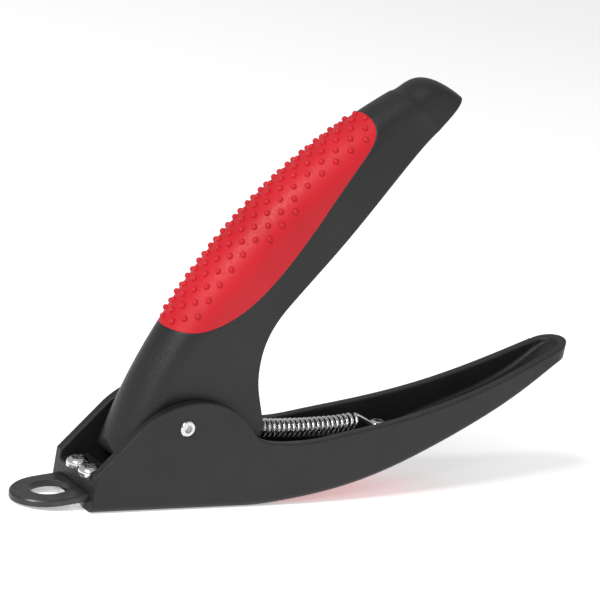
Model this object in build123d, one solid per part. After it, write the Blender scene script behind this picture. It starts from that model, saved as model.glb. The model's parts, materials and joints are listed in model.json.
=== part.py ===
from build123d import *
import math
import os

# Guillotine nail clipper, millimetres.
# X runs from the cutting ring (minus) to the tail of the handles (plus), Y is across
# and Z is up. The origin is on the resting face, midway across, below the pivot pin.

# ---------------------------------------------------------------- driving dimensions
handle_width = 20.9        # lower handle over its cheeks
cheek_wall = 2.3           # side walls beside the pivot
trough_wall = 2.2          # walls behind the pivot, and the floor over the lower grip
trough_floor = 1.3         # its floor behind the lower grip
trough_round = 1.2         # corners of the trough's floor
floor_wall = 1.6           # flat floor below the lever's foot
pivot_height = 21.0        # pivot axis above the resting face
front_x = -22.8            # front face of the lower handle
cheek_top = 27.5           # crest of the two cheeks
tail_x = 120.6             # end of the lower handle
tail_width = 11.6          # width at the rounded tail
keel_round = 1.6           # rounding along the underside
straight_end = 20.0        # rear end of the flat underside

close_angle = 38.0         # how far the upper handle swings down, degrees
lever_arm = 14.84          # pivot axis to drive pin
plate_pitch = 7.0          # cutting plane, nose down, degrees
blade_drop = 16.6          # pivot axis to the middle of the blade, square to the blade
blade_thick = 1.4
blade_rail = 1.0           # how much narrower than the ring plate the blade is, each side
blade_front = -26.0        # corners of the cutting edge at rest
blade_hollow = 1.3         # depth of the edge's curve
blade_bevel = 2.2          # length of the ground bevel, from the corners
blade_shoulder = 0.0       # rear end of the full width
blade_tail_width = 9.6
blade_back = 3.0
ring_thick = 1.6
ring_gap = 0.15            # between the ring plate and each cheek
ring_reach = 38.8          # pivot axis forward to the nose of the ring
hole_x = -29.0             # middle of the nail hole
hole_length = 10.0
hole_width = 8.3
deck_back = -14.0          # rear end of the ring plate and of the deck that covers it
bed_back = 2.0             # rear end of the bed that carries the blade
bed_width = 10.0
deck_thick = 3.2

screw_x = -20.1            # the two screws that clamp the ring plate
screw_gap = 6.15
screw_shank = 3.0
screw_head = 5.4
screw_head_height = 2.1

shell_wall = 2.2           # upper handle's moulded wall
washer_play = 0.075        # each side of a pivot washer
grip_width = 17.6          # upper handle at the grip
tip_width = 13.0           # upper handle at its tip
foot_radius = 2.6          # lobe around the drive pin
foot_chin = (-13.0, 11.0)  # lower front corner of the foot
foot_brow = (-16.0, 15.0)  # where the foot's front meets the spine
foot_back = (23.0, 15.8)   # lower rear corner of the foot
hollow_end = 103.5         # the hollow stops here, along the grip
rib_places = (40.0, 62.0, 84.0)
rib_thick = 1.6
rib_floor = 6.0            # the ribs' lower edges, above the grip's axis

pivot_bush_d = 5.0
pivot_bolt_d = 3.0
pivot_head_d = 4.0
pivot_head_h = 1.3
pivot_head_proud = 0.35
hex_socket = 2.0           # across flats
hex_depth = 1.0
stud_d = 2.2               # threaded end of the bolt, in the nut
stud_length = 1.1
washer_thick = 0.35
washer_d = 9.0
drive_pin_d = 3.0
spring_pin_d = 2.5
spring_pin_x = 16.0
spring_axis_z = 17.1

carrier_thick = 1.2
carrier_front = -4.0       # front edge of the carrier's base
carrier_play = 0.55        # between the carrier's ears and the upper handle's walls
ear_radius = 3.0
ear_foot = 6.0             # the ears' length where they leave the base
rivet_d = 1.8
rivet_x = -0.8
rivet_gap = 4.6
rivet_head = 0.6           # height of a rivet's head

wire_d = 0.9
coil_d = 5.2               # outside diameter of the spring
coil_lead = 5.0            # spring pin to the first coil
coil_length = 35.5
coil_turns = 24
anchor_lead = 8.0          # last coil to the anchor screw
anchor_depth = 4.6         # of the anchor screw in its boss
anchor_boss_d = 6.4
anchor_loop_z = 15.65      # wire's centre at the anchor screw
anchor_head_d = 5.0
anchor_head_h = 1.9

pad_thick = 1.5
lower_pad_front = 23.5
lower_pad_back = 80.0
lower_pad_width = 16.6

run_gap = 0.05             # radial running clearance
slide_gap = 0.08           # clearance round the blade
fit_gap = 0.1              # clearance of seated parts
seat_gap = 0.01            # clearance of clamped faces

# ------------------------------------------------------------------- derived values
pitch = math.radians(plate_pitch)
cheek_inside = handle_width - 2 * cheek_wall
lever_width = cheek_inside - 2 * (washer_thick + 2 * washer_play)
ring_width = cheek_inside - 2 * ring_gap
blade_width = ring_width - 2 * blade_rail
ear_gap = lever_width - 2 * (shell_wall + carrier_play + carrier_thick)
coil_front = spring_pin_x + coil_lead
coil_back = coil_front + coil_length
anchor_x = coil_back + anchor_lead
slide_plane = Plane(
    origin=(blade_drop * math.sin(pitch), 0, pivot_height - blade_drop * math.cos(pitch)),
    x_dir=(math.cos(pitch), 0, math.sin(pitch)),
    z_dir=(-math.sin(pitch), 0, math.cos(pitch)),
)


def along(x):
    """Distance along the cutting plane of the point above x."""
    return (x - slide_plane.origin.X) / math.cos(pitch)


drive_s = lever_arm * math.sin(math.radians(close_angle / 2))
rest_swing = math.radians(plate_pitch + close_angle / 2)
drive_x = lever_arm * math.sin(rest_swing)
drive_z = pivot_height - lever_arm * math.cos(rest_swing)
drive_dip = lever_arm * (1 - math.cos(math.radians(close_angle / 2))) / 2
drive_rise = blade_drop - lever_arm + drive_dip   # pin's mean height over the blade's middle
ring_under = blade_thick / 2 + slide_gap
ring_over = ring_under + ring_thick
deck_over = ring_over + deck_thick


# ------------------------------------------------------------------- helper shapes
def side_prism(face, width):
    """Extrude a face drawn in X and Z across the middle plane."""
    return extrude(Plane.XZ.offset(-width / 2) * face, width)


def plate_box(x0, x1, width, low, high):
    """A box that lies along the cutting plane."""
    s0, s1 = along(x0), along(x1)
    box = Box(s1 - s0, width, high - low, align=(Align.MIN, Align.CENTER, Align.MIN))
    return slide_plane * Pos(s0, 0, low) * box


def cross_pin(x, z, diameter, length):
    """A round bar across the handles."""
    return Pos(x, 0, z) * Rot(90, 0, 0) * Cylinder(diameter / 2, length)


# ------------------------------------------------------------------- lower handle
def rearward(fraction):
    """X at a fraction of the way from the end of the flat underside to the tail."""
    return straight_end + fraction * (tail_x - straight_end)


rim_dip = (rearward(0.14), 16.3)
rim_points = [
    rim_dip,
    (rearward(0.26), 17.9),
    (rearward(0.40), 20.5),
    (rearward(0.66), 27.2),
    (rearward(0.84), 34.1),
    (tail_x, 41.0),
]
keel_stations = [
    # x, height of the underside, narrowing of each side
    (straight_end, 0.0, 0.0),
    (rearward(0.08), 0.4, 0.0),
    (rearward(0.18), 1.7, 0.0),
    (rearward(0.30), 4.0, 0.2),
    (rearward(0.44), 8.2, 0.75),
    (rearward(0.60), 14.8, 1.65),
    (rearward(0.76), 22.6, 2.75),
    (rearward(0.89), 30.4, 3.95),
    (tail_x, 38.0, (handle_width - tail_width) / 2),
]
cheek_radius = 21.3
cheek_centre = (3.0, cheek_top - cheek_radius)
cheek_front = (front_x, 9.4)


def cheek_point(degrees):
    angle = math.radians(degrees)
    return (
        cheek_centre[0] + cheek_radius * math.cos(angle),
        cheek_centre[1] + cheek_radius * math.sin(angle),
    )


def lower_side():
    """Outline of the lower handle from the side; its underside is left to the sections."""
    arc_front = cheek_point(140)
    arc_back = cheek_point(38)
    low = -2.0
    edges = [
        Line((front_x, low), (tail_x, low)),
        Line((tail_x, low), rim_points[-1]),
        Spline(*reversed(rim_points), tangents=[(-1, -0.4), (-1, -0.03)]),
        Spline(rim_dip, arc_back, tangents=[(-1, -0.03), (-0.62, 0.79)]),
        ThreePointArc(arc_back, cheek_point(90), arc_front),
        Line(arc_front, cheek_front),
        Line(cheek_front, (front_x, low)),
    ]
    return make_face(edges)


def cup_section(x, bottom, half, corner, top=60.0):
    """A section of the lower handle: straight sides and a rounded bottom."""
    corner = min(corner, half * 0.8)
    mid = corner * (1 - math.sqrt(0.5))
    edges = [
        Line((-half, top), (-half, bottom + corner)),
        ThreePointArc((-half, bottom + corner), (-half + mid, bottom + mid), (-half + corner, bottom)),
        Line((-half + corner, bottom), (half - corner, bottom)),
        ThreePointArc((half - corner, bottom), (half - mid, bottom + mid), (half, bottom + corner)),
        Line((half, bottom + corner), (half, top)),
        Line((half, top), (-half, top)),
    ]
    return Plane(origin=(x, 0, 0), x_dir=(0, 1, 0), z_dir=(1, 0, 0)) * make_face(edges)


def lower_body(wall=0.0):
    """Solid between the lower handle's sides; a wall gives the trough's inside."""
    side = cheek_wall if wall else 0.0
    floor = floor_wall if wall else 0.0
    front = cup_section(front_x, floor, handle_width / 2 - side, keel_round)
    sections = [cup_section(straight_end, floor, handle_width / 2 - side, keel_round)]
    for x, bottom, narrowing in keel_stations[1:]:
        rear = x - wall if x == tail_x else x
        half = handle_width / 2 - narrowing
        if wall:
            thick = wall if x < lower_pad_back + 1 else trough_floor
            sections.append(cup_section(rear, bottom + thick, half - wall, trough_round))
        else:
            sections.append(cup_section(rear, bottom, half, keel_round))
    return extrude(front, straight_end - front_x, dir=(1, 0, 0)) + loft(sections)


def tail_round(wall=0.0):
    """Everything behind the lower handle's rounded tail."""
    radius = tail_width / 2 - wall
    centre = tail_x - wall - radius
    block = Box(40, 60, 80, align=(Align.MIN, Align.CENTER, Align.CENTER))
    return Pos(centre, 0, 40) * (block - Cylinder(radius, 90))


def lower_outer():
    """The lower handle's outside, before the trough is cut."""
    body = lower_body() & side_prism(lower_side(), handle_width + 2)
    return body - tail_round()


def trough():
    """The space between the lower handle's walls, above its floor."""
    return lower_body(trough_wall) - tail_round(trough_wall)


def lower_pad_prism():
    """Outline of the lower grip, drawn from below."""
    middle = (lower_pad_front + lower_pad_back) / 2
    length = lower_pad_back - lower_pad_front
    return Pos(middle, 0, -1) * extrude(RectangleRounded(length, lower_pad_width, 7.5), 40)


def lower_pad(outer):
    skin = outer - Pos(0, 0, pad_thick) * outer
    return skin & lower_pad_prism()


def lower_handle(outer):
    body = outer - trough()
    # Front block: the bed below the blade, the rails beside it and the deck over the ring.
    bed_top = -blade_thick / 2 - slide_gap
    overlap = cheek_inside + 0.2
    block = plate_box(front_x - 3, deck_back, overlap, -9, deck_over)
    block += plate_box(front_x - 3, bed_back, bed_width, -9, bed_top)
    body += block & outer
    channel = blade_width + 2 * slide_gap
    body -= plate_box(front_x - 4, blade_back, channel, bed_top, ring_under)
    slot_low, slot_high = ring_under - seat_gap, ring_over + seat_gap
    body -= plate_box(front_x - 4, deck_back + 1, cheek_inside, slot_low, slot_high)
    # Boss for the spring's anchor screw.
    boss_top = anchor_loop_z - wire_d / 2
    boss = Pos(anchor_x, 0, 4) * Cylinder(
        anchor_boss_d / 2, boss_top - 4, align=(Align.CENTER, Align.CENTER, Align.MIN)
    )
    body += boss & outer
    body -= Pos(anchor_x, 0, boss_top) * Cylinder(
        screw_shank / 2, anchor_depth + 0.4, align=(Align.CENTER, Align.CENTER, Align.MAX)
    )
    # Bores for the pivot bolt, its head and its nut.
    body -= cross_pin(0, pivot_height, pivot_bolt_d + 2 * run_gap, handle_width + 2)
    for side in (-1, 1):
        seat = cross_pin(0, pivot_height, pivot_head_d + 2 * run_gap, 10)
        body -= Pos(0, side * (handle_width / 2 - pivot_head_h + 5), 0) * seat
    # Holes for the two plate screws.
    for side in (-1, 1):
        hole = Cylinder(screw_shank / 2 + fit_gap, 30)
        body -= slide_plane * Pos(along(screw_x), side * screw_gap / 2, 15 + ring_under) * hole
    return body


# ------------------------------------------------------------------- upper handle
under_points = [(69.6, 107.7), (62.8, 99.7), (50.0, 84.9), (36.8, 67.4), (24.0, 51.2)]
throat_points = [(19.2, 40.0), (19.4, 32.5), (23.4, 20.5)]


def upper_side():
    """Outline of the upper handle from the side, with room above its domed spine."""
    def on_lobe(degrees):
        angle = math.radians(degrees)
        return (drive_x + foot_radius * math.cos(angle), drive_z + foot_radius * math.sin(angle))

    back_end = on_lobe(close_angle - 90)
    front_end = on_lobe(198)
    above = (-30, 125)
    edges = [
        Polyline(foot_brow, (above[0], foot_brow[1]), above, (75, above[1]), under_points[0]),
        Spline(*under_points, tangents=[(-0.64, -0.77), (-0.6, -0.8)]),
        Spline(under_points[-1], *throat_points, tangents=[(-0.6, -0.8), (0.32, -0.95)]),
        Polyline(throat_points[-1], foot_back, back_end),
        ThreePointArc(back_end, on_lobe(250), front_end),
        Line(front_end, foot_chin),
        Spline(foot_chin, foot_brow, tangents=[(-1, 0.1), (-0.1, 1)]),
    ]
    return make_face(edges)


grip_plane = Plane(origin=(0, 0, pivot_height), x_dir=(0.6, 0, 0.8), z_dir=(-0.8, 0, 0.6))


def arch_section(along_grip, rise, half, dome):
    """A section across the upper handle: straight sides below an elliptic dome."""
    low = -60.0
    edges = [
        Line((-half, low), (-half, rise - dome)),
        EllipticalCenterArc((0, rise - dome), half, dome, arc_size=180),
        Line((half, rise - dome), (half, low)),
        Line((half, low), (-half, low)),
    ]
    origin = grip_plane.origin + grip_plane.x_dir * along_grip
    plane = Plane(origin=origin, x_dir=(0, 1, 0), z_dir=(0.6, 0, 0.8))
    return plane * make_face(edges)


arch_stations = [
    # along the grip, height of the spine, half width, depth of the dome
    (-30.0, 3.0, lever_width / 2, 6.4),
    (-14.0, 9.4, lever_width / 2, 6.4),
    (-2.0, 14.0, lever_width / 2, 6.6),
    (12.0, 17.6, lever_width / 2 + 0.1, 6.8),
    (28.0, 19.8, grip_width / 2 - 0.4, 7.4),
    (46.0, 20.4, grip_width / 2, 7.6),
    (64.0, 18.8, grip_width / 2 - 0.1, 7.4),
    (82.0, 14.9, grip_width / 2 - 0.9, 6.6),
    (97.0, 9.9, tip_width / 2 + 0.5, 5.8),
]
tip_stations = [
    arch_stations[-1],
    (102.5, 7.7, tip_width / 2 + 0.1, 5.6),
    (105.6, 4.9, tip_width / 2 - 0.6, 5.0),
    (107.2, 1.2, tip_width / 2 - 1.6, 4.2),
    (108.2, -3.6, tip_width / 2 - 3.1, 3.0),
]


def upper_body(inset=0.0):
    """Solid below the upper handle's domed spine; an inset gives the surface below it."""
    def skin(stations):
        return loft([
            arch_section(s, rise - inset, half - inset, dome - 0.5 * inset)
            for s, rise, half, dome in stations
        ])

    return skin(arch_stations) + skin(tip_stations)


def upper_outer(inset=0.0):
    """The upper handle's outside, cut to its side outline."""
    return upper_body(inset) & side_prism(upper_side(), grip_width + 2)


def grip_prism():
    """Outline of the upper grip from the side, in the grip's own directions."""
    points = [
        (13.0, 26.0), (14.2, 19.6), (18.6, 13.9), (27.2, 8.9), (41.8, 6.9),
        (59.9, 8.2), (76.3, 9.9), (85.6, 12.0), (88.2, 15.5), (88.2, 22.0),
    ]
    side = Plane(origin=grip_plane.origin, x_dir=grip_plane.x_dir, z_dir=(0, -1, 0))
    edges = [Spline(*points), Line(points[-1], points[0])]
    return extrude(side.offset(-20) * make_face(edges), 40)


def upper_pad(outer):
    return (outer - upper_body(pad_thick)) & grip_prism()


def upper_handle(outer, pad):
    """Moulded lever: a hollow arch over two side walls that reach down past the pivot."""
    cavity = upper_body(shell_wall)
    beyond_tip = Box(60, 80, 200, align=(Align.MIN, Align.CENTER, Align.CENTER))
    cavity -= grip_plane * Pos(hollow_end, 0, 0) * beyond_tip
    body = outer - cavity - pad
    # Stiffening ribs across the hollow.
    ribs_in = upper_outer(shell_wall - 0.2)
    for place in rib_places:
        rib = grip_plane * Pos(place, 0, rib_floor + 40) * Box(rib_thick, 80, 80)
        body += rib & ribs_in
    # Bores for the pivot bush, the drive pin and the spring pin.
    body -= cross_pin(0, pivot_height, pivot_bush_d + 2 * run_gap, 40)
    body -= cross_pin(drive_x, drive_z, drive_pin_d, 40)
    body -= cross_pin(spring_pin_x, spring_axis_z, spring_pin_d, 40)
    return body


# ------------------------------------------------------------------- pivot
def pivot_bolt():
    """Head in the near cheek, shank through the bush and a stud into the nut."""
    half = handle_width / 2
    seat = half - pivot_head_h
    shank = Pos(0, 0, -seat) * Cylinder(
        pivot_bolt_d / 2, 2 * seat, align=(Align.CENTER, Align.CENTER, Align.MIN)
    )
    stud = Pos(0, 0, seat) * Cylinder(
        stud_d / 2, stud_length, align=(Align.CENTER, Align.CENTER, Align.MIN)
    )
    return across(shank + stud + pivot_head(-1))


def pivot_head(side):
    """Round head with a hexagon socket, on one end of the pivot."""
    height = pivot_head_h + pivot_head_proud
    head = Cylinder(pivot_head_d / 2, height, align=(Align.CENTER, Align.CENTER, Align.MIN))
    head = chamfer(head.edges().sort_by(Axis.Z)[-1], 0.25)
    head -= Pos(0, 0, height - hex_depth) * extrude(RegularPolygon(hex_socket / math.sqrt(3), 6), 2)
    head = Pos(0, 0, handle_width / 2 - pivot_head_h) * head
    return head if side > 0 else Rot(180, 0, 0) * head


def across(shape):
    """Turn a shape built on Z to lie on the pivot, with plus Z towards plus Y."""
    return Pos(0, 0, pivot_height) * Rot(-90, 0, 0) * shape


def pivot_nut():
    seat = handle_width / 2 - pivot_head_h
    hole = Pos(0, 0, seat) * Cylinder(stud_d / 2, 2 * (stud_length + fit_gap))
    return across(pivot_head(1) - hole)


def pivot_bush():
    length = cheek_inside - 2 * run_gap
    tube = Cylinder(pivot_bush_d / 2, length) - Cylinder(pivot_bolt_d / 2 + run_gap, length + 1)
    return across(tube)


def pivot_washer(side):
    ring = Cylinder(washer_d / 2, washer_thick)
    ring -= Cylinder(pivot_bush_d / 2 + fit_gap, 2)
    return across(Pos(0, 0, side * (cheek_inside + lever_width) / 4) * ring)


# ------------------------------------------------------------------- cutting head
def cutting_ring():
    """Flat plate with the nail hole, its nose standing out of the handle."""
    centre, nose = along(hole_x), along(-ring_reach)
    rear = along(deck_back)
    outline = Pos(centre, 0) * Ellipse(centre - nose, ring_width / 2)
    body = Pos((centre + rear) / 2, 0) * Rectangle(rear - centre, ring_width)
    plate = extrude(outline + body, ring_thick)
    plate = chamfer(plate.faces().sort_by(Axis.Z)[-1].edges().filter_by(GeomType.ELLIPSE), 0.35)
    hole = Pos(centre, 0, -1) * extrude(Ellipse(hole_length / 2, hole_width / 2), ring_thick + 2)
    plate -= hole
    for side in (-1, 1):
        tapped = Cylinder(screw_shank / 2 + 0.02, 10)
        plate -= Pos(along(screw_x), side * screw_gap / 2, 0) * tapped
    return slide_plane * Pos(0, 0, ring_under) * plate


def plate_screw(side):
    """Pan head screw that clamps the ring plate below the deck."""
    length = deck_over - ring_under
    shank = Cylinder(screw_shank / 2, length, align=(Align.CENTER, Align.CENTER, Align.MAX))
    return slide_plane * Pos(along(screw_x), side * screw_gap / 2, deck_over) * (
        shank + pan_head(screw_head, screw_head_height)
    )


def pan_head(diameter, height):
    head = Cylinder(diameter / 2, height, align=(Align.CENTER, Align.CENTER, Align.MIN))
    head = fillet(head.edges().sort_by(Axis.Z)[-1], height * 0.62)
    for turn in (0, 90):
        slot = Box(diameter * 0.56, 0.8, 1.2, align=(Align.CENTER, Align.CENTER, Align.MAX))
        head -= Pos(0, 0, height) * Rot(0, 0, turn + 22) * slot
    return head


def blade():
    """Flat steel blade with a hollow-ground edge on its underside."""
    front, shoulder, back = along(blade_front), along(blade_shoulder), along(blade_back)
    half, tail = blade_width / 2, blade_tail_width / 2
    edges = [
        ThreePointArc((front, half), (front + blade_hollow, 0), (front, -half)),
        Line((front, -half), (shoulder, -half)),
        Line((shoulder, -half), (shoulder, -tail)),
        Line((shoulder, -tail), (back, -tail)),
        Line((back, -tail), (back, tail)),
        Line((back, tail), (shoulder, tail)),
        Line((shoulder, tail), (shoulder, half)),
        Line((shoulder, half), (front, half)),
    ]
    plate = Pos(0, 0, -blade_thick / 2) * extrude(make_face(edges), blade_thick)
    bevel = Box(6, blade_width + 2, 3, align=(Align.MAX, Align.CENTER, Align.MAX))
    plate -= Pos(front + blade_bevel, 0, -blade_thick / 2) * Rot(0, 30, 0) * bevel
    for side in (-1, 1):
        plate -= Pos(along(rivet_x), side * rivet_gap / 2, 0) * Cylinder(rivet_d / 2, 9)
    return slide_plane * plate


def blade_carrier():
    """Bent bracket on the blade: a base under two upright ears with slots for the drive pin."""
    base_low = blade_thick / 2
    front, pin = along(carrier_front), drive_s
    width = ear_gap + 2 * carrier_thick
    base = Pos(front, 0, base_low) * Box(
        along(blade_back) - front, width, carrier_thick,
        align=(Align.MIN, Align.CENTER, Align.MIN),
    )
    ear_face = Pos(pin, drive_rise) * Circle(ear_radius)
    root = along(blade_back) - ear_foot
    ear_face += make_face(Polyline(
        (root, base_low), (pin, drive_rise - ear_radius),
        (pin, drive_rise + ear_radius), (root, base_low + carrier_thick), close=True,
    ))
    upright = Plane(origin=slide_plane.origin, x_dir=slide_plane.x_dir, z_dir=(0, -1, 0))
    body = slide_plane * base
    for side in (-1, 1):
        centre = side * (ear_gap + carrier_thick) / 2
        ear = extrude(upright.offset(-centre - carrier_thick / 2) * ear_face, carrier_thick)
        body += ear & above_plane(base_low)
    slot_height = 2 * drive_dip + drive_pin_d + 2 * fit_gap
    slot = Pos(pin, 0, drive_rise) * Box(drive_pin_d + 2 * fit_gap, 30, slot_height)
    body -= slide_plane * slot
    for side in (-1, 1):
        hole = Pos(along(rivet_x), side * rivet_gap / 2, 0) * Cylinder(rivet_d / 2, 9)
        body -= slide_plane * hole
    return body


def above_plane(low):
    """Everything above a height over the cutting plane."""
    return slide_plane * Pos(0, 0, low) * Box(
        90, 40, 30, align=(Align.CENTER, Align.CENTER, Align.MIN)
    )


def carrier_rivets():
    """Two rivets through the blade and its carrier, with low domed heads."""
    low = -blade_thick / 2
    high = blade_thick / 2 + carrier_thick
    rivets = []
    for side in (-1, 1):
        shank = Pos(0, 0, low) * Cylinder(
            rivet_d / 2, high - low, align=(Align.CENTER, Align.CENTER, Align.MIN)
        )
        head = Pos(0, 0, high) * Cylinder(
            rivet_d * 0.8, rivet_head, align=(Align.CENTER, Align.CENTER, Align.MIN)
        )
        head = fillet(head.edges().sort_by(Axis.Z)[-1], rivet_head * 0.75)
        rivets.append(slide_plane * Pos(along(rivet_x), side * rivet_gap / 2, 0) * (shank + head))
    return Compound(children=rivets)


def drive_pin():
    return cross_pin(drive_x, drive_z, drive_pin_d, lever_width - 0.2)


def spring_pin():
    return cross_pin(spring_pin_x, spring_axis_z, spring_pin_d, lever_width - 0.2)


# ------------------------------------------------------------------- return spring
def return_spring():
    """Extension spring: close coils, a hook on the lever's pin and one on the anchor screw."""
    radius = (coil_d - wire_d) / 2
    length = coil_back - coil_front
    wire = Circle(wire_d / 2)
    coil = Helix(pitch=length / coil_turns, height=length, radius=radius, direction=(1, 0, 0),
                 center=(coil_front, 0, spring_axis_z))
    body = sweep(Plane(origin=coil @ 0, z_dir=coil % 0) * wire, coil)
    # Front hook, round the lever's pin in the middle plane.
    reach = spring_pin_d / 2 + wire_d / 2 + run_gap
    start = coil @ 0
    hook = spring_hook(start, -(coil % 0), reach)
    tail = anchor_hook(coil @ 1, coil % 1)
    return Compound(children=[body, hook, tail])


def spring_hook(start, heading, reach):
    pin = Vector(spring_pin_x, 0, spring_axis_z)
    over, under = pin + Vector(0.6, 0, reach), pin + Vector(0, 0, -reach)
    lead = Spline(start, pin + Vector(2.4, 0, reach * 0.9), over, tangents=[heading, (-1, 0, 0.1)])
    loop = ThreePointArc(over, pin + Vector(-reach, 0, 0), under)
    return sweep(Plane(origin=start, z_dir=heading) * Circle(wire_d / 2), Wire([lead, loop]))


def anchor_hook(start, heading):
    reach = screw_shank / 2 + wire_d / 2 + run_gap
    screw = Vector(anchor_x, 0, anchor_loop_z)
    near, far = screw + Vector(-0.3, -reach, 0), screw + Vector(-0.3, reach, 0)
    lead = Spline(start, near, tangents=[heading, (1, 0, 0)])
    loop = ThreePointArc(near, screw + Vector(reach, 0, 0), far)
    return sweep(Plane(origin=start, z_dir=heading) * Circle(wire_d / 2), Wire([lead, loop]))


def spring_anchor_screw():
    """Screw in the trough's boss, its head over the spring's loop."""
    boss_top = anchor_loop_z - wire_d / 2
    shank = Pos(0, 0, boss_top - anchor_depth) * Cylinder(
        screw_shank / 2, wire_d + anchor_depth + fit_gap, align=(Align.CENTER, Align.CENTER, Align.MIN)
    )
    head = Pos(0, 0, boss_top + wire_d + fit_gap) * pan_head(anchor_head_d, anchor_head_h)
    return Pos(anchor_x, 0, 0) * (shank + head)


# ------------------------------------------------------------------- all parts
def build():
    low, high = lower_outer(), upper_outer()
    low_grip, high_grip = lower_pad(low), upper_pad(high)
    parts = {
        "lower_handle": lower_handle(low) - low_grip,
        "lower_grip": low_grip,
        "upper_handle": upper_handle(high, high_grip),
        "upper_grip": high_grip,
        "pivot_bolt": pivot_bolt(),
        "pivot_nut": pivot_nut(),
        "pivot_bush": pivot_bush(),
        "pivot_washer_left": pivot_washer(-1),
        "pivot_washer_right": pivot_washer(1),
        "cutting_ring": cutting_ring(),
        "plate_screw_left": plate_screw(-1),
        "plate_screw_right": plate_screw(1),
        "blade": blade(),
        "blade_carrier": blade_carrier(),
        "carrier_rivets": carrier_rivets(),
        "drive_pin": drive_pin(),
        "spring_pin": spring_pin(),
        "return_spring": return_spring(),
        "spring_anchor_screw": spring_anchor_screw(),
    }
    os.makedirs("parts", exist_ok=True)
    for name, shape in parts.items():
        export_step(shape, f"parts/{name}.step")


build()
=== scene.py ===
import json
import math

import bpy
from mathutils import Matrix, Vector
from mathutils.bvhtree import BVHTree


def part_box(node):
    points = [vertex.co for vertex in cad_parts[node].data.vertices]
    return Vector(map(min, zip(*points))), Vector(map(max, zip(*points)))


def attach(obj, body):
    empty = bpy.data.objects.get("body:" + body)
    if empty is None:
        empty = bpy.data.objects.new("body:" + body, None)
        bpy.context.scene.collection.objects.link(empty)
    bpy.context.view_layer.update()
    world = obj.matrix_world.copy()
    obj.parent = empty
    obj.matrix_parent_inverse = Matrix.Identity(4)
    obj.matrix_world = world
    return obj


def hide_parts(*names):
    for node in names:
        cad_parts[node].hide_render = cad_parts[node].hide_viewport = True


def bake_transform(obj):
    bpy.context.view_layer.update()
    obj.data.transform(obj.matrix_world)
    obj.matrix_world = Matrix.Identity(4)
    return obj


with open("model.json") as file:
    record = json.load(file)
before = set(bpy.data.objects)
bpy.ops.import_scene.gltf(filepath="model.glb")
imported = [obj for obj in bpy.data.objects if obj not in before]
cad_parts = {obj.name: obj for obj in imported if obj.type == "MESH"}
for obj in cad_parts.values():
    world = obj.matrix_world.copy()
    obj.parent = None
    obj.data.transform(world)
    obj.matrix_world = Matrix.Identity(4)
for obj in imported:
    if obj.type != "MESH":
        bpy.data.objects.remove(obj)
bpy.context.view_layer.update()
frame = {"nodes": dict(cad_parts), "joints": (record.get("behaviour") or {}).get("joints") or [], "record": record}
nodes = frame["nodes"]
MM = 0.001
GRIP_RUN = Vector((0.6, 0, 0.8))       # along the upper grip, away from the pivot
GRIP_DOWN = Vector((0.8, 0, -0.6))     # into the upper grip
DOT_PITCH = 4.6 * MM                   # between rows of the same column
COIL_LEAD = 5 * MM                     # spring pin to the first coil
COIL_LENGTH = 35.5 * MM
COIL_TURNS = 24
COIL_R = 2.15 * MM                     # middle of the wire
WIRE_R = 0.45 * MM
HOOK_PLAY = 0.05 * MM
ANCHOR_RISE = 5.05 * MM                # foot of the anchor screw to the wire's middle
LIFT_FROM = 0.85                       # share of the coil after which its axis lifts


# ---------------------------------------------------------------- materials
def material(name, dark, light, rough, metallic=0.0, grain=1500.0, depth=0.2, patch=60.0,
             bevel=0.0004, stretch=(1, 1, 1), spread=0.08, gloss=0.5):
    """Procedural finish: two tones in soft patches, uneven roughness, fine grain and eased edges."""
    mat = bpy.data.materials.new(name)
    mat.use_nodes = True
    tree = mat.node_tree
    shader = tree.nodes["Principled BSDF"]
    shader.inputs["Metallic"].default_value = metallic
    shader.inputs["Specular IOR Level"].default_value = gloss
    coords = tree.nodes.new("ShaderNodeTexCoord")
    mapping = tree.nodes.new("ShaderNodeMapping")
    mapping.inputs["Scale"].default_value = stretch
    tree.links.new(coords.outputs["Object"], mapping.inputs["Vector"])

    def noise(scale, detail):
        node = tree.nodes.new("ShaderNodeTexNoise")
        node.inputs["Scale"].default_value = scale
        node.inputs["Detail"].default_value = detail
        tree.links.new(mapping.outputs["Vector"], node.inputs["Vector"])
        return node

    tone, fine = noise(patch, 3.0), noise(grain, 2.0)
    ramp = tree.nodes.new("ShaderNodeValToRGB")
    ramp.color_ramp.elements[0].position = 0.35
    ramp.color_ramp.elements[0].color = (*dark, 1)
    ramp.color_ramp.elements[1].position = 0.65
    ramp.color_ramp.elements[1].color = (*light, 1)
    tree.links.new(tone.outputs["Fac"], ramp.inputs["Fac"])
    tree.links.new(ramp.outputs["Color"], shader.inputs["Base Color"])
    vary = tree.nodes.new("ShaderNodeMapRange")
    vary.inputs["From Min"].default_value = 0.3
    vary.inputs["From Max"].default_value = 0.7
    vary.inputs["To Min"].default_value = rough - spread
    vary.inputs["To Max"].default_value = rough + spread
    tree.links.new(fine.outputs["Fac"], vary.inputs["Value"])
    tree.links.new(vary.outputs["Result"], shader.inputs["Roughness"])
    ease = tree.nodes.new("ShaderNodeBevel")
    ease.samples = 6
    ease.inputs["Radius"].default_value = bevel
    bump = tree.nodes.new("ShaderNodeBump")
    bump.inputs["Strength"].default_value = depth
    bump.inputs["Distance"].default_value = 0.0002
    tree.links.new(fine.outputs["Fac"], bump.inputs["Height"])
    tree.links.new(ease.outputs["Normal"], bump.inputs["Normal"])
    tree.links.new(bump.outputs["Normal"], shader.inputs["Normal"])
    return mat


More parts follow.
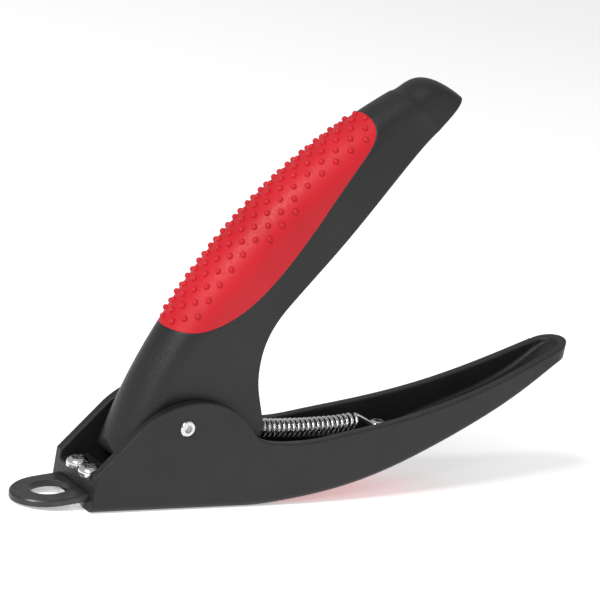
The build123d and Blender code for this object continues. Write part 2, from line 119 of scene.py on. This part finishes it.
finishes = {
    "black_plastic": material("black_plastic", (0.0110, 0.0110, 0.0122), (0.0148, 0.0148, 0.0162), 0.43,
                              grain=1700, depth=0.35, bevel=0.0008, gloss=0.34),
    "red_grip": material("red_grip", (0.46, 0.006, 0.014), (0.52, 0.009, 0.018), 0.50,
                         grain=1300, depth=0.25, bevel=0.0002, gloss=0.3),
    "black_steel": material("black_steel", (0.030, 0.030, 0.031), (0.055, 0.055, 0.055), 0.34, 0.55,
                            grain=900, depth=0.15, patch=160, bevel=0.0003),
    "pin_steel": material("pin_steel", (0.50, 0.50, 0.51), (0.58, 0.58, 0.59), 0.30, 1.0),
    "bright_steel": material("bright_steel", (0.66, 0.65, 0.64), (0.80, 0.80, 0.79), 0.22, 1.0,
                             grain=700, depth=0.08, bevel=0.00015),
    "white_nylon": material("white_nylon", (0.70, 0.69, 0.64), (0.76, 0.75, 0.70), 0.45),
    "blade_steel": material("blade_steel", (0.58, 0.59, 0.60), (0.72, 0.73, 0.74), 0.26, 1.0,
                            grain=500, depth=0.15, bevel=0.0001, stretch=(6, 0.6, 1)),
    "zinc_steel": material("zinc_steel", (0.52, 0.52, 0.51), (0.62, 0.62, 0.60), 0.38, 1.0, patch=300),
    "spring_steel": material("spring_steel", (0.62, 0.62, 0.62), (0.76, 0.76, 0.76), 0.20, 1.0,
                             grain=400, depth=0.05, bevel=0.0001),
}
for row in frame["record"]["subparts"]:
    data = nodes[row["node"]].data
    data.materials.clear()
    data.materials.append(finishes[row["material_slot"]])


def new_piece(name, vertices, faces, slot):
    mesh = bpy.data.meshes.new(name)
    mesh.from_pydata([tuple(v) for v in vertices], [], faces)
    mesh.update()
    mesh.polygons.foreach_set("use_smooth", [True] * len(mesh.polygons))
    mesh.materials.append(finishes[slot])
    obj = bpy.data.objects.new(name, mesh)
    bpy.context.scene.collection.objects.link(obj)
    return obj


# ---------------------------------------------------------------- raised dots of the grips
def surface(node):
    data = nodes[node].data
    return BVHTree.FromPolygons([v.co for v in data.vertices], [p.vertices for p in data.polygons])


def add_dome(vertices, faces, at, normal, radius, height):
    """A low dome standing on the point at, its skirt sunk a little below the surface."""
    side = normal.orthogonal().normalized()
    other = normal.cross(side)
    around, rings = 14, 5
    first = len(vertices)
    for ring in range(rings):
        angle = math.pi / 2 * ring / rings
        reach, up = radius * math.cos(angle), height * math.sin(angle)
        lift = up if ring else -0.3 * height
        for step in range(around):
            turn = 2 * math.pi * step / around
            spoke = side * math.cos(turn) + other * math.sin(turn)
            vertices.append(at + spoke * reach + normal * lift)
    vertices.append(at + normal * height)
    top = len(vertices) - 1
    for ring in range(rings):
        for step in range(around):
            a = first + ring * around + step
            b = first + ring * around + (step + 1) % around
            if ring < rings - 1:
                faces.append((a, b, b + around, a + around))
            else:
                faces.append((a, b, top))


def dots(name, node, body, origin, run, cast, length, columns, pitch, radius, height, floor=None):
    """Staggered rows of domes on a grip, cast onto it along one direction."""
    tree = surface(node)
    vertices, faces = [], []
    rows = int(length / pitch * 2)
    for row in range(rows):
        for index, across in enumerate(columns):
            if (row + index) % 2:
                continue
            start = origin + run * (row * pitch / 2) + Vector((0, across, 0)) - cast * 0.05
            hit = tree.ray_cast(start, cast, 0.2)
            margin = 1.1 * radius
            ring = [start + run * margin, start - run * margin,
                    start + Vector((0, margin, 0)), start - Vector((0, margin, 0))]
            around = [tree.ray_cast(p, cast, 0.2) for p in ring]
            if hit[0] is None or any(h[0] is None or abs(h[3] - hit[3]) > 0.003 for h in around):
                continue
            normal = hit[1] if hit[1].dot(cast) < 0 else -hit[1]
            if floor is not None and (hit[0] + normal * height).z < floor:
                continue
            add_dome(vertices, faces, hit[0], normal, radius, height)
    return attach(new_piece(name, vertices, faces, "red_grip"), body)


swing = Vector((0, 0, frame["joints"][0]["pos_m"][2]))
upper_columns = [c * MM for c in (-7.9, -6.4, -4.5, -2.3, 0, 2.3, 4.5, 6.4, 7.9)]
dots("upper_grip_dots", "upper_grip", "lever", swing + GRIP_RUN * 14.6 * MM, GRIP_RUN, GRIP_DOWN,
     76 * MM, upper_columns, DOT_PITCH, 0.78 * MM, 0.80 * MM)
low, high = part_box("lower_grip")
lower_columns = [c * MM for c in (-7.7, -5.8, -3.9, -1.9, 0, 1.9, 3.9, 5.8, 7.7)]
dots("lower_grip_dots", "lower_grip", "handle_base", Vector((low[0] + 1.5 * MM, 0, 0)),
     Vector((1, 0, 0)), Vector((0, 0, 1)), high[0] - low[0], lower_columns,
     DOT_PITCH, 0.95 * MM, 1.0 * MM, floor=0.02 * MM)


# ---------------------------------------------------------------- return spring
def tube(vertices, faces, path, radius, sides=10):
    """A round wire along a path, closed at both ends."""
    side = None
    first = len(vertices)
    for i, point in enumerate(path):
        ahead = path[min(i + 1, len(path) - 1)] - path[max(i - 1, 0)]
        ahead.normalize()
        side = ahead.orthogonal() if side is None else side - ahead * side.dot(ahead)
        side.normalize()
        other = ahead.cross(side)
        for step in range(sides):
            turn = 2 * math.pi * step / sides
            vertices.append(point + (side * math.cos(turn) + other * math.sin(turn)) * radius)
    for i in range(len(path) - 1):
        for step in range(sides):
            a = first + i * sides + step
            b = first + i * sides + (step + 1) % sides
            faces.append((a, b, b + sides, a + sides))
    last = len(vertices) - sides
    faces.append(tuple(range(first, first + sides))[::-1])
    faces.append(tuple(range(last, last + sides)))


pin_low, pin_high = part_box("spring_pin")
pin = (Vector(pin_low) + Vector(pin_high)) / 2
pin_r = (pin_high[0] - pin_low[0]) / 2
screw_low, screw_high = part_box("spring_anchor_screw")
coil_a = pin[0] + COIL_LEAD
anchor = Vector(((screw_low[0] + screw_high[0]) / 2, 0, screw_low[2] + ANCHOR_RISE))


def sag(x):
    """Height of the coil's axis: it hangs a little in the middle and lifts at the rear."""
    t = (x - coil_a) / COIL_LENGTH
    lift = 0.7 * MM * max(0, t - LIFT_FROM) / (1 - LIFT_FROM)
    return pin[2] - 0.55 * MM * math.sin(math.pi * min(t / LIFT_FROM, 1.0)) + lift


path = []
reach = pin_r + WIRE_R + HOOK_PLAY
for step in range(13):
    turn = math.radians(-100 + 190 * step / 12 + 180)
    path.append(Vector((pin[0] + reach * math.cos(-turn), 0, pin[2] + reach * math.sin(-turn))))
lead_start = path[-1]
first_coil = Vector((coil_a, 0, sag(coil_a) + COIL_R))
for step in range(1, 6):
    path.append(lead_start.lerp(first_coil, step / 6))
count = COIL_TURNS * 28
for step in range(count + 1):
    angle = 2 * math.pi * COIL_TURNS * step / count
    x = coil_a + COIL_LENGTH * step / count
    path.append(Vector((x, COIL_R * math.sin(angle), sag(x) + COIL_R * math.cos(angle))))
rear = path[-1]
loop_r = 1.5 * MM + WIRE_R + HOOK_PLAY
loop_start = anchor + Vector((-0.2 * MM, -loop_r, 0))
for step in range(1, 8):
    t = step / 8
    path.append(rear.lerp(loop_start, t) + Vector((0, 0, 0.5 * MM * math.sin(math.pi * t))))
for step in range(17):
    turn = math.radians(-97 + 190 * step / 16)
    path.append(anchor + Vector((loop_r * math.cos(turn), loop_r * math.sin(turn), 0)))
vertices, faces = [], []
tube(vertices, faces, path, WIRE_R)
spring = new_piece("spring_wire", vertices, faces, "spring_steel")
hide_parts("return_spring")
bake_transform(spring)

# ---------------------------------------------------------------- floor, light and camera
paper = material("paper", (0.90, 0.90, 0.90), (0.92, 0.92, 0.92), 0.95, grain=300, depth=0.0,
                 patch=3, spread=0.02, gloss=0.0)
sheet = paper.node_tree.nodes["Principled BSDF"]
sheet.inputs["Emission Color"].default_value = (1, 1, 1, 1)
sheet.inputs["Emission Strength"].default_value = 0.36
bpy.ops.mesh.primitive_plane_add(size=6, location=(0, 0, -0.0001))
floor = bpy.context.object
floor.name = "floor"
floor.data.materials.append(paper)

world = bpy.data.worlds.new("studio")
bpy.context.scene.world = world
world.use_nodes = True
sky = world.node_tree
back = sky.nodes["Background"]
back.inputs["Color"].default_value = (1, 1, 1, 1)
rays = sky.nodes.new("ShaderNodeLightPath")
level = sky.nodes.new("ShaderNodeMapRange")
level.inputs["To Min"].default_value = 0.47
level.inputs["To Max"].default_value = 1.0
sky.links.new(rays.outputs["Is Camera Ray"], level.inputs["Value"])
sky.links.new(level.outputs["Result"], back.inputs["Strength"])


def softbox(name, place, aim, size, watts):
    light = bpy.data.lights.new(name, "AREA")
    light.shape = "RECTANGLE"
    light.size, light.size_y = size
    light.energy = watts
    obj = bpy.data.objects.new(name, light)
    obj.location = place
    obj.rotation_mode = "QUATERNION"
    obj.rotation_quaternion = (Vector(aim) - Vector(place)).to_track_quat("-Z", "Y")
    bpy.context.scene.collection.objects.link(obj)


softbox("key", (-0.70, -0.28, 0.95), (0.03, 0, 0.04), (0.35, 0.35), 10.0)
softbox("side", (-0.75, -0.72, 0.66), (0.03, 0, 0.05), (0.35, 0.35), 2.6)
softbox("fill", (0.5, -0.9, 0.5), (0.03, 0, 0.05), (0.8, 0.5), 0.8)

azimuth, elevation, roll = (math.radians(v) for v in (-35.63, 14.17, 10.57))
target = Vector((33.02, 0, 50.46)) * MM
out = Vector((math.sin(azimuth) * math.cos(elevation), -math.cos(azimuth) * math.cos(elevation),
              math.sin(elevation)))
right = Vector((math.cos(azimuth), math.sin(azimuth), 0))
up = out.cross(right)
turned_right = right * math.cos(roll) + up * math.sin(roll)
turned_up = up * math.cos(roll) - right * math.sin(roll)
camera_data = bpy.data.cameras.new("camera")
camera_data.sensor_width = 36.0
camera_data.lens = 36.0 * 4.03
camera = bpy.data.objects.new("camera", camera_data)
bpy.context.scene.collection.objects.link(camera)
pose = Matrix((turned_right, turned_up, out)).transposed().to_4x4()
pose.translation = target + out * 0.6
camera.matrix_world = pose
bpy.context.scene.camera = camera
bpy.context.scene.view_settings.view_transform = "Standard"

bpy.context.view_layer.update()
